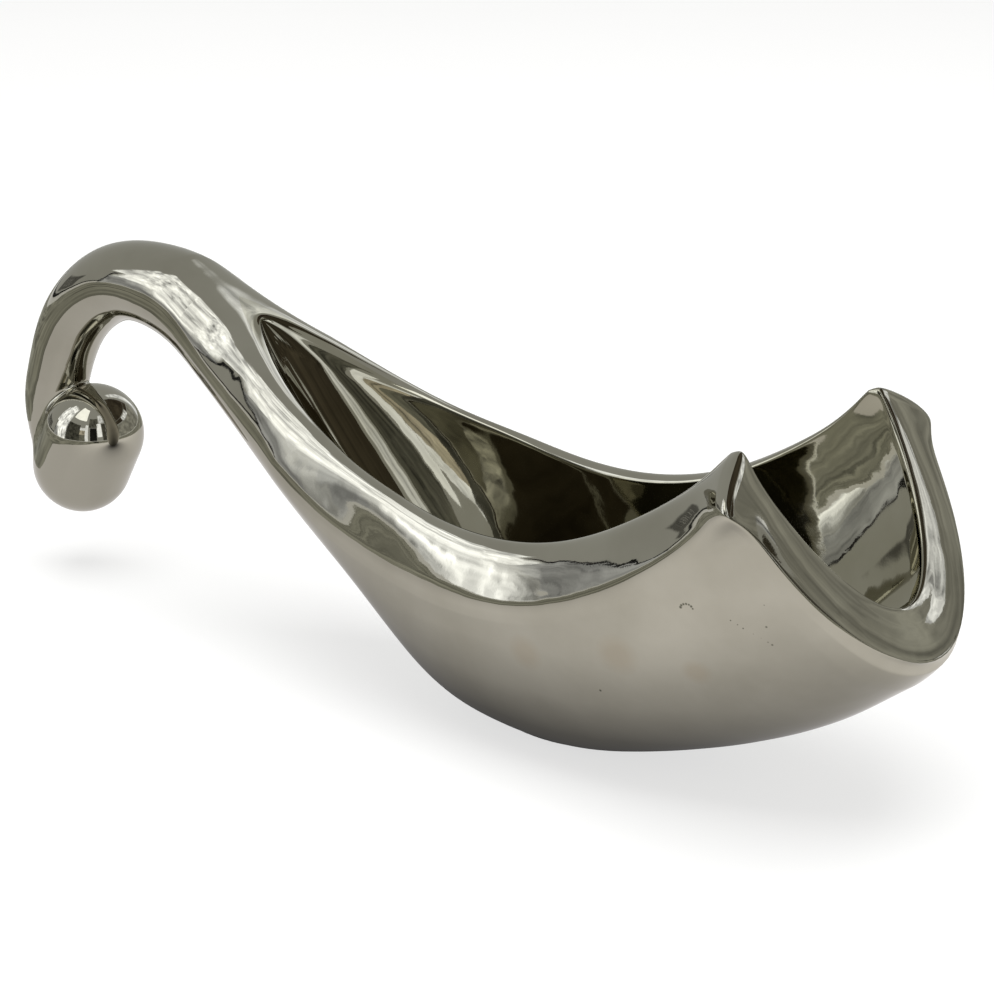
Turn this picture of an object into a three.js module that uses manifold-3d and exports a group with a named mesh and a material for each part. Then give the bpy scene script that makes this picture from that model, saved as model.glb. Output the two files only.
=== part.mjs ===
import * as THREE from "three";
import { mergeVertices } from "three/addons/utils/BufferGeometryUtils.js";
import Module from "manifold-3d";

// A centrepiece bowl in bright metal, shaped like a horn of plenty. A boat-shaped double-walled bowl
// is cut away in front in a deep U between two horns. Its back draws out into a round handle that
// rises, curls over and ends in a ball tucked under the curl. It is made as hollow metalwork: formed
// sheet pieces, butted edge to edge and soldered, on a flat foot with a felt pad.
// Millimetres, +Z up, +X towards the pour end. The origin is on the table, under the middle of the foot.

const wasm = await Module();
wasm.setup();

// Driving dimensions
const WALL = 1.4; // sheet thickness of the bowl
const HANDLE_WALL = 0.8; // sheet thickness of the handle and the ball
const SEAM = 0.3; // gap left where two pieces are soldered
const FELT_THICKNESS = 1.5;
const FELT_INSET = 1.5; // bare metal outside the felt
const FOOT_THICKNESS = 1.2;
const VENT_DIAMETER = 4; // vent hole of the hollow body, through foot plate and felt
const VENT_OFFSET = 15; // from the middle of the foot towards the pour end
const SLEEVE_WALL = 0.8;
const NECK_SLEEVE_LENGTH = 12;
const BALL_SLEEVE_LENGTH = 10;
const STRIP_WIDTH = 6; // backing strips of the keel seam
const STRIP_THICKNESS = 0.8;
const BALL = { x: -257, z: 64, radius: 21.6 };
const CURL = { x: -265, z: 48.5, radius: 21 }; // the swelling where the handle turns in under the ball

// Handle stations, from the tip inside the curl to the neck: the centre line, the tube's diameter, and
// the direction that faces outwards, in degrees from straight up towards the pour end.
const HANDLE = [
  { x: -275, z: 48, diameter: 26, outward: -112 },
  { x: -280, z: 71, diameter: 26, outward: -92 },
  { x: -276, z: 90, diameter: 27, outward: -78 },
  { x: -264, z: 114, diameter: 29, outward: -50 },
  { x: -241, z: 132.5, diameter: 32, outward: -20 },
  { x: -216, z: 137, diameter: 34.5, outward: 5 },
  { x: -191, z: 132, diameter: 38, outward: 22 },
];

// Bowl stations, from the neck to the horns. The keel and the cavity's floor lie on the middle plane
// as [x, z]. The crease, where the hull meets the rim, and the inner edge are [x, half width, z].
const BOWL = [
  { keel: [-178, 103], crease: [-169, 23, 119], edge: [-156, 7, 136], floor: [-156, 133.5] },
  { keel: [-151.5, 87], crease: [-143, 31, 105], edge: [-136, 14, 123.5], floor: [-133, 111] },
  { keel: [-116, 62], crease: [-113, 39.5, 88], edge: [-110, 24, 109.9], floor: [-106, 79] },
  { keel: [-78.5, 33.5], crease: [-83, 45.5, 75], edge: [-82, 33, 98.8], floor: [-78, 49] },
  { keel: [-48, 7], crease: [-52, 50, 67.7], edge: [-56, 38, 92], floor: [-50, 26] },
  { keel: [-17, -1], crease: [-21, 54.5, 65], edge: [-28, 40.5, 86.2], floor: [-23, 14] },
  { keel: [17, -1.5], crease: [9.5, 57, 67], edge: [2, 42, 85.7], floor: [10, 10] },
  { keel: [50, 6], crease: [39.5, 59, 76], edge: [30, 43, 92.4], floor: [47, 14] },
  { keel: [84.5, 18], crease: [67, 60.5, 91.5], edge: [55, 43.5, 104.8], floor: [82, 30] },
  { keel: [117.5, 34.5], crease: [89.2, 61.5, 108.6], edge: [78, 44, 120.8], floor: [114, 54] },
  { keel: [140, 52], crease: [100.6, 63.8, 118.2], edge: [91, 44.3, 133.5], floor: [132, 71] },
  { keel: [153, 65.5], crease: [109, 66.3, 125], edge: [99.5, 44.5, 140.3], floor: [140.5, 80] },
];
const GROOVE_START = { x: -181, z: 148 }; // where the cavity runs out in a groove on the neck

// Places along the body, counted in stations
const NECK = HANDLE.length - 1; // the joint of handle and bowl
const BALL_JOINT = 2.4; // above the ball, where the tube has left it
const TIP = HANDLE.length + BOWL.length - 1; // the horns
const GROOVE = NECK + 0.35;
const LINER_START = NECK + 0.5; // the groove is wide enough here for the liner
const STRIPS = { back: [NECK + 2, NECK + 4.3], front: [NECK + 8, TIP - 0.4] };

// Fullness of the cross-sections, as [station, value] pairs. 0.5523 makes a round quarter, more is
// squarer. The last four groups are millimetres.
const ROUND = 0.5523;
const HULL_SIDE = [[0, ROUND], [7, ROUND], [10, 0.6], [13, 0.6], [16, 0.5], [18, 0.43]];
const HULL_BOTTOM = [
  [0, ROUND], [6, ROUND], [7, 0.53], [8, 0.47], [9, 0.38], [10, 0.37], [11, 0.52], [12, 0.67],
  [13, 0.7], [14, 0.7], [16, 0.58], [18, 0.58],
];
const HULL_TUCK = [[0, 0], [7, 0], [10, 0.05], [13, 0.1], [16, 0.04], [18, 0.04]];
const RIM_RISE = [[0, ROUND], [7, ROUND], [10, 0.42], [15, 0.42], [18, 0.33]];
const RIM_LEVEL = [[0, ROUND], [6.35, ROUND], [8, 0.15], [9.5, 0], [18, 0]];
const ROLL_ALONG = [[0, 0], [7, 0], [11, 0.35], [18, 0.35]];
const WALL_SIDE = [[0, 0.5], [9, 0.5], [13, 0.55], [18, 0.45]];
const WALL_BOTTOM = [[0, 0.5], [6, 0.5], [9, 0.45], [13, 0.55], [18, 0.5]];
const WALL_TUCK = [[0, 0], [13, 0], [18, 0.08]];
const WING = [[0, 0], [14, 0], [15, 0.6], [16, 2], [17, 4.8], [18, 8]]; // flare of the hull at the horns
const RIM_OUT = [[0, 0], [7, 0], [10, -2.5], [16, -2.5], [18, 1.5]];
const ROLL_OUT = [
  [0, 0], [7, 0], [8, 9], [9, 9], [10, 8], [13, 10], [14, 11], [16, 11], [17, 10], [18, 9],
];
const ROLL_UP = [
  [0, 0], [6, 0], [7, 1], [8, 3], [9, 4.5], [10, 5], [13, 8], [15, 8], [16, 6.5], [17, 2.5], [18, -3.5],
];
const WING_SHARPNESS = 19;
const RIDGE_DECAY = 4; // how fast the ridge of the horn fades down the front band

// How finely the surfaces are cut into facets
const STEPS_PER_STATION = 2.5;
const HANDLE_DENSITY = 1.2; // the handle bends harder than the bowl
const HULL_STEPS = 8;
const RIM_STEPS = 6;
const BALL_SEGMENTS = 24;
const BALL_TUBE_STEPS = 8;
const OVAL_SEGMENTS = 32;
const VENT_SEGMENTS = 16;

const PRECISION = 1e-4; // points nearer than this are one point
const SLOPE_STEP = 0.01; // in stations, for directions along the rails

// Solves a small system of linear equations by elimination.
function solve(matrix, right) {
  const rows = matrix.map((row, i) => [...row, right[i]]);
  const n = rows.length;
  for (let i = 0; i < n; i++) {
    for (let k = i + 1; k < n; k++) {
      const share = rows[k][i] / rows[i][i];
      for (let j = i; j <= n; j++) rows[k][j] -= share * rows[i][j];
    }
  }
  const result = new Array(n).fill(0);
  for (let i = n - 1; i >= 0; i--) {
    let sum = rows[i][n];
    for (let j = i + 1; j < n; j++) sum -= rows[i][j] * result[j];
    result[i] = sum / rows[i][i];
  }
  return result;
}

// A smooth curve through values at the given places, straight past its ends.
function spline(places, values) {
  const last = places.length - 1;
  const matrix = places.map(() => new Array(places.length).fill(0));
  const right = new Array(places.length).fill(0);
  matrix[0][0] = 1;
  matrix[last][last] = 1;
  for (let i = 1; i < last; i++) {
    const before = places[i] - places[i - 1];
    const after = places[i + 1] - places[i];
    matrix[i][i - 1] = before;
    matrix[i][i] = 2 * (before + after);
    matrix[i][i + 1] = after;
    right[i] = 6 * ((values[i + 1] - values[i]) / after - (values[i] - values[i - 1]) / before);
  }
  const bend = solve(matrix, right);
  return (u) => {
    let i = 0;
    while (i < last - 1 && u > places[i + 1]) i++;
    const h = places[i + 1] - places[i];
    const a = (places[i + 1] - u) / h;
    const b = (u - places[i]) / h;
    const curved = (a ** 3 - a) * bend[i] + (b ** 3 - b) * bend[i + 1];
    return a * values[i] + b * values[i + 1] + (curved * h * h) / 6;
  };
}

const STATIONS = Array.from({ length: TIP + 1 }, (_, i) => i);

// A smooth curve along the stations, through values read off straight lines between the pairs.
function along(pairs) {
  const values = STATIONS.map((u) => {
    let i = 0;
    while (i < pairs.length - 2 && u > pairs[i + 1][0]) i++;
    const [from, low] = pairs[i];
    const [to, high] = pairs[i + 1];
    return low + ((u - from) / (to - from)) * (high - low);
  });
  return spline(STATIONS, values);
}

// A rail: a smooth curve in space, from a list of [x, half width, z].
function rail(places, points) {
  const parts = [0, 1, 2].map((k) => spline(places, points.map((p) => p[k])));
  return (u) => new THREE.Vector3(parts[0](u), parts[1](u), parts[2](u));
}

// The four rails of the half body, with y as the half width
const tubes = HANDLE.map((s) => {
  const angle = THREE.MathUtils.degToRad(s.outward);
  const radius = s.diameter / 2;
  const out = [Math.sin(angle) * radius, Math.cos(angle) * radius];
  return {
    keel: [s.x - out[0], 0, s.z - out[1]],
    crease: [s.x, radius, s.z],
    edge: [s.x + out[0], 0, s.z + out[1]],
  };
});
const keelRail = rail(STATIONS, [...tubes.map((t) => t.keel), ...BOWL.map((s) => [s.keel[0], 0, s.keel[1]])]);
const creaseRail = rail(STATIONS, [...tubes.map((t) => t.crease), ...BOWL.map((s) => s.crease)]);
const topRail = rail(STATIONS, [...tubes.map((t) => t.edge), ...BOWL.map((s) => s.edge)]);
const groovePlaces = [GROOVE, ...BOWL.map((_, i) => HANDLE.length + i)];
const edgeWidth = spline(groovePlaces, [0, ...BOWL.map((s) => s.edge[1])]);
const floorRail = rail(groovePlaces, [
  [GROOVE_START.x, 0, GROOVE_START.z],
  ...BOWL.map((s) => [s.floor[0], 0, s.floor[1]]),
]);
function edgeRail(u) {
  const point = topRail(u);
  point.y = u > GROOVE ? Math.max(edgeWidth(u), 0) : 0;
  return point;
}

const shape = {
  hullSide: along(HULL_SIDE),
  hullBottom: along(HULL_BOTTOM),
  hullTuck: along(HULL_TUCK),
  rimRise: along(RIM_RISE),
  rimLevel: along(RIM_LEVEL),
  rollAlong: along(ROLL_ALONG),
  wallSide: along(WALL_SIDE),
  wallBottom: along(WALL_BOTTOM),
  wallTuck: along(WALL_TUCK),
  wing: along(WING),
  rimOut: along(RIM_OUT),
  rollOut: along(ROLL_OUT),
  rollUp: along(ROLL_UP),
};

function bezier(a, b, c, d, v) {
  const w = 1 - v;
  return new THREE.Vector3()
    .addScaledVector(a, w ** 3)
    .addScaledVector(b, 3 * w * w * v)
    .addScaledVector(c, 3 * w * v * v)
    .addScaledVector(d, v ** 3);
}

// A quarter of a section from one rail to another, drawn towards their corner.
function quarter(from, to, corner, side, bottom, v) {
  return bezier(from, from.clone().lerp(corner, side), to.clone().lerp(corner, bottom), to, v);
}

// The hull, from the crease at v = 0 to the keel at v = 1
function hullPoint(u, v) {
  const keel = keelRail(u);
  const crease = creaseRail(u);
  const flare = shape.wing(u);
  crease.y -= flare;
  const corner = new THREE.Vector3(keel.x, crease.y * (1 - shape.hullTuck(u)), keel.z);
  const point = quarter(crease, keel, corner, shape.hullSide(u), shape.hullBottom(u), v);
  point.y += flare * (1 - v) ** WING_SHARPNESS;
  return point;
}

// The rolled rim, from the crease at v = 0 to the inner edge at v = 1
function rimPoint(u, v) {
  const crease = creaseRail(u);
  const edge = edgeRail(u);
  const step = edge.clone().sub(crease);
  const rise = shape.rimRise(u);
  const leave = crease.clone().add(new THREE.Vector3(step.x * rise, shape.rimOut(u), step.z * rise));
  const arrive = edge.clone();
  arrive.x -= step.x * shape.rollAlong(u);
  arrive.y += shape.rollOut(u) - step.y * shape.rimLevel(u);
  arrive.z += shape.rollUp(u);
  return bezier(crease, leave, arrive, edge, v);
}

// The cavity's wall, from the inner edge at v = 0 to the floor at v = 1
function cavityPoint(u, v) {
  const edge = edgeRail(u);
  const floor = floorRail(u);
  const corner = new THREE.Vector3(floor.x, edge.y * (1 - shape.wallTuck(u)), floor.z);
  return quarter(edge, floor, corner, shape.wallSide(u), shape.wallBottom(u), v);
}

const steps = (count, power = 1) => Array.from({ length: count + 1 }, (_, i) => (i / count) ** power);
const between = (from, to, count) => steps(count).map((t) => from + t * (to - from));
const hullSteps = steps(HULL_STEPS, 1.5);
const rimSteps = steps(RIM_STEPS);
const bowlSteps = Math.round((TIP - LINER_START) * STEPS_PER_STATION);
const linerPlaces = between(LINER_START, TIP, bowlSteps);
const bowlPlaces = [NECK, GROOVE, ...linerPlaces];
const handleSteps = Math.round((NECK - BALL_JOINT) * STEPS_PER_STATION * HANDLE_DENSITY);
const handlePlaces = between(BALL_JOINT, NECK, handleSteps);

// The front band, ruled from the cavity's last section to the hull's last section. Its first row is
// the ridge of the horn, which is the rim's last section.
function frontRow(v) {
  const inner = cavityPoint(TIP, v);
  const outer = hullPoint(TIP, v);
  const tip = rimPoint(TIP, 1);
  const base = rimPoint(TIP, 0);
  return [...rimSteps].reverse().map((w, k) => {
    const s = k / RIM_STEPS;
    const ridge = rimPoint(TIP, w).sub(tip.clone().lerp(base, s));
    return inner.clone().lerp(outer, s).addScaledVector(ridge, (1 - v) ** RIDGE_DECAY);
  });
}

const mirror = (p) => new THREE.Vector3(p.x, -p.y, p.z);
const mirrored = (grid) => grid.map((row) => row.map(mirror));

// Joins a list of rows to its mirror image, sharing the row on the middle plane.
const acrossMiddle = (rows) => [...rows, ...mirrored(rows).reverse().slice(1)];
const turned = (grid) => grid[0].map((_, j) => grid.map((row) => row[j]));

// Seen surfaces as grids of points. A flipped grid has its outside on the other side.
const hullGrid = bowlPlaces.map((u) => hullSteps.map((v) => hullPoint(u, v)));
const rimGrid = bowlPlaces.map((u) => rimSteps.map((v) => rimPoint(u, v)));
const handleGrid = handlePlaces.map((u) => [
  ...[...rimSteps].reverse().map((v) => rimPoint(u, v)),
  ...hullSteps.slice(1).map((v) => hullPoint(u, v)),
]);
const linerGrid = turned(acrossMiddle(turned(linerPlaces.map((u) => hullSteps.map((v) => cavityPoint(u, v))))));
const frontGrid = acrossMiddle(hullSteps.map(frontRow));

const sheets = {
  outer_shell_left: { grid: hullGrid, flip: false, wall: WALL },
  outer_shell_right: { grid: mirrored(hullGrid), flip: true, wall: WALL },
  rim_left: { grid: rimGrid, flip: true, wall: WALL },
  rim_right: { grid: mirrored(rimGrid), flip: false, wall: WALL },
  inner_bowl: { grid: linerGrid, flip: true, wall: WALL },
  spout_lip: { grid: frontGrid, flip: false, wall: WALL },
  handle_left_half: { grid: handleGrid, flip: false, wall: HANDLE_WALL },
  handle_right_half: { grid: mirrored(handleGrid), flip: true, wall: HANDLE_WALL },
};

function sheetNormals({ grid, flip }) {
  const rows = grid.length - 1;
  const columns = grid[0].length - 1;
  return grid.map((row, i) =>
    row.map((_, j) => {
      const lengthwise = grid[Math.min(i + 1, rows)][j].clone().sub(grid[Math.max(i - 1, 0)][j]);
      const crosswise = row[Math.min(j + 1, columns)].clone().sub(row[Math.max(j - 1, 0)]);
      const normal = lengthwise.cross(crosswise).normalize();
      return flip ? normal.negate() : normal;
    }),
  );
}

// Where sheets meet, the back of each is moved in from all their faces alike, which mitres the joint.
const cornerKey = (p) => [p.x, p.y, p.z].map((value) => Math.round(value * 1000) + 0).join(",");
const normalsAt = new Map();
for (const sheet of Object.values(sheets)) {
  sheet.normals = sheetNormals(sheet);
  sheet.grid.forEach((row, i) =>
    row.forEach((point, j) => {
      const key = cornerKey(point);
      if (!normalsAt.has(key)) normalsAt.set(key, []);
      normalsAt.get(key).push(sheet.normals[i][j]);
    }),
  );
}
const SOFTENING = 0.02; // keeps the mitre of a very sharp corner short

function backPoint(point, depth) {
  const normals = normalsAt.get(cornerKey(point));
  const matrix = normals.map((a, i) => normals.map((b, j) => a.dot(b) + (i === j ? SOFTENING : 0)));
  const shares = solve(matrix, normals.map(() => 1));
  const move = new THREE.Vector3();
  normals.forEach((normal, i) => move.addScaledVector(normal, shares[i]));
  return point.clone().addScaledVector(move, -depth);
}

// A closed solid between a front and a back grid of the same size.
function slab(front, back, flip) {
  const rows = front.length;
  const columns = front[0].length;
  const points = [...front.flat(), ...back.flat()];
  const index = [];
  const at = (layer, i, j) => layer * rows * columns + i * columns + j;
  const triangle = (a, b, c) => index.push(...(flip ? [a, c, b] : [a, b, c]));
  const face = (a, b, c, d) => {
    if (points[a].distanceTo(points[c]) < points[b].distanceTo(points[d])) {
      triangle(a, b, c);
      triangle(a, c, d);
    } else {
      triangle(a, b, d);
      triangle(b, c, d);
    }
  };
  for (let i = 0; i + 1 < rows; i++) {
    for (let j = 0; j + 1 < columns; j++) {
      face(at(0, i, j), at(0, i + 1, j), at(0, i + 1, j + 1), at(0, i, j + 1));
      face(at(1, i, j), at(1, i, j + 1), at(1, i + 1, j + 1), at(1, i + 1, j));
    }
  }
  for (let i = 0; i + 1 < rows; i++) {
    face(at(0, i, 0), at(1, i, 0), at(1, i + 1, 0), at(0, i + 1, 0));
    face(at(0, i + 1, columns - 1), at(1, i + 1, columns - 1), at(1, i, columns - 1), at(0, i, columns - 1));
  }
  for (let j = 0; j + 1 < columns; j++) {
    face(at(0, 0, j + 1), at(1, 0, j + 1), at(1, 0, j), at(0, 0, j));
    face(at(0, rows - 1, j), at(1, rows - 1, j), at(1, rows - 1, j + 1), at(0, rows - 1, j + 1));
  }
  return geometryOf(points, index);
}

function geometryOf(points, index) {
  const geometry = new THREE.BufferGeometry().setFromPoints(points);
  geometry.setIndex(index);
  return geometry;
}

// A formed sheet, half a seam short of its neighbours all round.
function formedSheet({ grid, flip, wall }) {
  const rows = grid.length - 1;
  const columns = grid[0].length - 1;
  const inward = (i, j) => {
    const move = new THREE.Vector3();
    const towards = (a, b) => move.add(grid[a][b].clone().sub(grid[i][j]).setLength(SEAM / 2));
    if (i === 0) towards(1, j);
    if (i === rows) towards(rows - 1, j);
    if (j === 0) towards(i, 1);
    if (j === columns) towards(i, columns - 1);
    return move;
  };
  const front = grid.map((row, i) => row.map((point, j) => point.clone().add(inward(i, j))));
  const back = grid.map((row, i) => row.map((point, j) => backPoint(point, wall).add(inward(i, j))));
  return slab(front, back, flip);
}

function solidOf(geometry) {
  const bare = new THREE.BufferGeometry();
  bare.setAttribute("position", geometry.getAttribute("position"));
  bare.setIndex(geometry.getIndex());
  const merged = mergeVertices(bare, PRECISION);
  const mesh = new wasm.Mesh({
    numProp: 3,
    vertProperties: new Float32Array(merged.getAttribute("position").array),
    triVerts: new Uint32Array(merged.getIndex().array),
  });
  return new wasm.Manifold(mesh);
}

function geometryFrom(solid) {
  const mesh = solid.getMesh();
  const geometry = new THREE.BufferGeometry();
  geometry.setAttribute("position", new THREE.BufferAttribute(mesh.vertProperties, 3));
  geometry.setIndex(new THREE.BufferAttribute(mesh.triVerts, 1));
  return geometry;
}

// The part of a solid between two levels along an axis: 0, 1, 2 for x, y, z.
function layerOf(solid, axis, from, to) {
  const { min, max } = solid.boundingBox();
  const low = min.map((value) => value - 1);
  const high = max.map((value) => value + 1);
  low[axis] = from ?? low[axis];
  high[axis] = to ?? high[axis];
  const geometry = new THREE.BoxGeometry(high[0] - low[0], high[1] - low[1], high[2] - low[2]);
  geometry.translate((low[0] + high[0]) / 2, (low[1] + high[1]) / 2, (low[2] + high[2]) / 2);
  return solid.intersect(solidOf(geometry));
}

// A closed solid through a row of closed sections, each a list of the same number of points.
function loft(sections) {
  const count = sections[0].length;
  const last = (sections.length - 1) * count;
  const index = [];
  for (let i = 0; i + 1 < sections.length; i++) {
    for (let j = 0; j < count; j++) {
      const a = i * count + j;
      const b = i * count + ((j + 1) % count);
      index.push(a, a + count, b + count, a, b + count, b);
    }
  }
  for (let j = 1; j + 1 < count; j++) {
    index.push(0, j, j + 1, last, last + j + 1, last + j);
  }
  return geometryOf(sections.flat(), index);
}

// The whole section of the handle at u, drawn in towards its centre.
function tubeSection(u, inset) {
  const half = [
    ...[...rimSteps].reverse().map((v) => rimPoint(u, v)),
    ...hullSteps.slice(1).map((v) => hullPoint(u, v)),
  ];
  const ring = [...half, ...half.slice(1, -1).reverse().map(mirror)];
  const centre = half[0].clone().lerp(half[half.length - 1], 0.5);
  return ring.map((p) => {
    const radius = p.distanceTo(centre);
    return centre.clone().lerp(p, 1 - inset / radius);
  });
}
const tubeCentre = (u) => keelRail(u).lerp(edgeRail(u), 0.5);

// Millimetres per station along the tube
const spacing = (u) =>
  tubeCentre(u + SLOPE_STEP).distanceTo(tubeCentre(u - SLOPE_STEP)) / (2 * SLOPE_STEP);

// A ring inside the joint at u, soldered to both tubes.
function sleeve(u, length, tubeWall) {
  const reach = length / 2 / spacing(u);
  const places = [u - reach, u, u + reach];
  const rings = (inset) => places.map((place) => tubeSection(place, inset));
  const outer = rings(tubeWall + SEAM);
  const inner = rings(tubeWall + SEAM + SLEEVE_WALL);
  const count = outer[0].length;
  const sections = [...outer, ...inner.reverse()];
  const index = [];
  sections.forEach((_, i) => {
    const next = (i + 1) % sections.length;
    for (let j = 0; j < count; j++) {
      const k = (j + 1) % count;
      const corners = [i * count + j, next * count + j, next * count + k, i * count + k];
      index.push(corners[0], corners[1], corners[2], corners[0], corners[2], corners[3]);
    }
  });
  return geometryOf(sections.flat(), index);
}

// The ball and the curl's swelling, as one round-ended body of revolution drawn in by inset.
function ballBody(inset) {
  const ballCentre = new THREE.Vector3(BALL.x, 0, BALL.z);
  const curlCentre = new THREE.Vector3(CURL.x, 0, CURL.z);
  const axis = ballCentre.clone().sub(curlCentre);
  const length = axis.length();
  const tangent = Math.asin((CURL.radius - BALL.radius) / length);
  const arc = (radius, height, from, to) =>
    between(from, to, BALL_SEGMENTS / 4).map(
      (angle) => new THREE.Vector2(Math.cos(angle) * radius, height + Math.sin(angle) * radius),
    );
  const profile = [
    ...arc(CURL.radius - inset, 0, -Math.PI / 2, tangent),
    ...arc(BALL.radius - inset, length, tangent, Math.PI / 2),
  ];
  profile[0].x = 0;
  profile[profile.length - 1].x = 0;
  const geometry = new THREE.LatheGeometry(profile, BALL_SEGMENTS);
  const turn = new THREE.Quaternion().setFromUnitVectors(new THREE.Vector3(0, 1, 0), axis.normalize());
  geometry.applyQuaternion(turn);
  geometry.translate(curlCentre.x, 0, curlCentre.z);
  return solidOf(geometry);
}

// The tube between two places, as a solid drawn in by inset.
const tubeSolid = (from, to, inset) =>
  solidOf(loft(between(from, to, BALL_TUBE_STEPS).map((u) => tubeSection(u, inset))));

// The round end of the handle, which lies against the curl's swelling.
function tubeEnd(inset) {
  const { x, z, diameter } = HANDLE[0];
  const geometry = new THREE.SphereGeometry(diameter / 2 - inset, BALL_SEGMENTS, BALL_SEGMENTS / 2);
  geometry.rotateX(Math.PI / 2);
  geometry.translate(x, 0, z);
  return solidOf(geometry);
}

const OPEN_END = 0.1; // stations that the bore runs past the ball's end, so that it leaves it open

function ballHalves() {
  const end = BALL_JOINT - SEAM / 2 / spacing(BALL_JOINT);
  const outside = ballBody(0).add(tubeSolid(0, end, 0)).add(tubeEnd(0));
  const bore = tubeSolid(0, BALL_JOINT + OPEN_END, HANDLE_WALL);
  const inside = ballBody(HANDLE_WALL).add(bore).add(tubeEnd(HANDLE_WALL));
  const shell = outside.subtract(inside);
  return { left: layerOf(shell, 1, SEAM / 2, null), right: layerOf(shell, 1, null, -SEAM / 2) };
}

// The foot: levels above the table
const plateBottom = FELT_THICKNESS + SEAM;
const plateTop = plateBottom + FOOT_THICKNESS;
const hullBottomLevel = plateTop + SEAM;

const cutHull = (sheet) => geometryFrom(layerOf(solidOf(formedSheet(sheet)), 2, hullBottomLevel, null));

// The hull filled in across its crease, from which the foot plate takes its outline.
function hullBlock() {
  return solidOf(loft(bowlPlaces.slice(1).map((u) => {
    const half = hullSteps.map((v) => hullPoint(u, v));
    return [...half, ...half.slice(0, -1).reverse().map(mirror)];
  })));
}

const FOOT_SEARCH = [NECK + 4, NECK + 9]; // the stations between which the hull dips to the foot
const FOOT_SAMPLES = 100;

// Half length, half width and middle of the hull at the foot plate's lower face.
function footSize() {
  const outline = between(...FOOT_SEARCH, FOOT_SAMPLES)
    .filter((u) => keelRail(u).z < plateBottom)
    .map((u) => {
      let low = 0;
      let high = 1;
      while (high - low > PRECISION) {
        const middle = (low + high) / 2;
        if (hullPoint(u, middle).z > plateBottom) low = middle;
        else high = middle;
      }
      return hullPoint(u, low);
    });
  const ends = [Math.min(...outline.map((p) => p.x)), Math.max(...outline.map((p) => p.x))];
  return {
    middle: (ends[0] + ends[1]) / 2,
    halfLength: (ends[1] - ends[0]) / 2,
    halfWidth: Math.max(...outline.map((p) => p.y)),
  };
}
const foot = footSize();

function footPlate() {
  const radius = VENT_DIAMETER / 2;
  const length = 4 * FOOT_THICKNESS; // well past both faces
  const bore = new THREE.CylinderGeometry(radius, radius, length, VENT_SEGMENTS);
  bore.rotateX(Math.PI / 2);
  bore.translate(foot.middle + VENT_OFFSET, 0, (plateBottom + plateTop) / 2);
  return geometryFrom(layerOf(hullBlock(), 2, plateBottom, plateTop).subtract(solidOf(bore)));
}

function feltPad() {
  const outline = new THREE.Shape();
  outline.absellipse(0, 0, foot.halfLength - FELT_INSET, foot.halfWidth - FELT_INSET, 0, 2 * Math.PI);
  const hole = new THREE.Path();
  hole.absarc(VENT_OFFSET, 0, VENT_DIAMETER / 2, 0, 2 * Math.PI);
  outline.holes.push(hole);
  const options = { depth: FELT_THICKNESS, bevelEnabled: false, curveSegments: OVAL_SEGMENTS };
  return new THREE.ExtrudeGeometry(outline, options);
}

// A strip along the inside of the keel seam.
function seamStrip([from, to]) {
  const places = bowlPlaces.filter((u) => u >= from && u <= to);
  const sections = places.map((u) => {
    const keel = keelRail(u);
    const side = hullPoint(u, hullSteps[HULL_STEPS - 1]);
    side.sub(keel).multiplyScalar(STRIP_WIDTH / 2 / side.y).add(keel);
    const forward = keelRail(u + SLOPE_STEP).sub(keelRail(u - SLOPE_STEP)).normalize();
    const up = new THREE.Vector3(-forward.z, 0, forward.x);
    const layer = (height) =>
      [side, keel, mirror(side)].map((point) => point.clone().addScaledVector(up, height));
    const low = WALL + SEAM;
    return [...layer(low), ...layer(low + STRIP_THICKNESS).reverse()];
  });
  return loft(sections);
}

// Materials, with the colours of the photographed object
const brightMetal = new THREE.MeshStandardMaterial({ color: 0xa39d92, metalness: 1, roughness: 0.08 });
const linerMetal = new THREE.MeshStandardMaterial({ color: 0x8f897c, metalness: 1, roughness: 0.1 });
const solderedMetal = new THREE.MeshStandardMaterial({ color: 0x8a857d, metalness: 1, roughness: 0.35 });
const felt = new THREE.MeshStandardMaterial({ color: 0x2b2c29, metalness: 0, roughness: 1 });

const bowl = new THREE.Group();
function add(name, geometry, material) {
  const mesh = new THREE.Mesh(geometry, material);
  mesh.name = name;
  bowl.add(mesh);
  return mesh;
}

add("outer_shell_left", cutHull(sheets.outer_shell_left), brightMetal);
add("outer_shell_right", cutHull(sheets.outer_shell_right), brightMetal);
for (const name of ["rim_left", "rim_right", "spout_lip", "handle_left_half", "handle_right_half"]) {
  add(name, formedSheet(sheets[name]), brightMetal);
}
add("inner_bowl", formedSheet(sheets.inner_bowl), linerMetal);
const halves = ballHalves();
add("ball_left_half", geometryFrom(halves.left), brightMetal);
add("ball_right_half", geometryFrom(halves.right), brightMetal);
add("handle_sleeve", sleeve(NECK, NECK_SLEEVE_LENGTH, WALL), solderedMetal);
add("ball_sleeve", sleeve(BALL_JOINT, BALL_SLEEVE_LENGTH, HANDLE_WALL), solderedMetal);
add("seam_strip_back", seamStrip(STRIPS.back), solderedMetal);
add("seam_strip_front", seamStrip(STRIPS.front), solderedMetal);
add("foot_plate", footPlate(), solderedMetal);
const pad = add("felt_pad", feltPad(), felt);
pad.position.x = foot.middle;

export default bowl;
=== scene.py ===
import math

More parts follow.
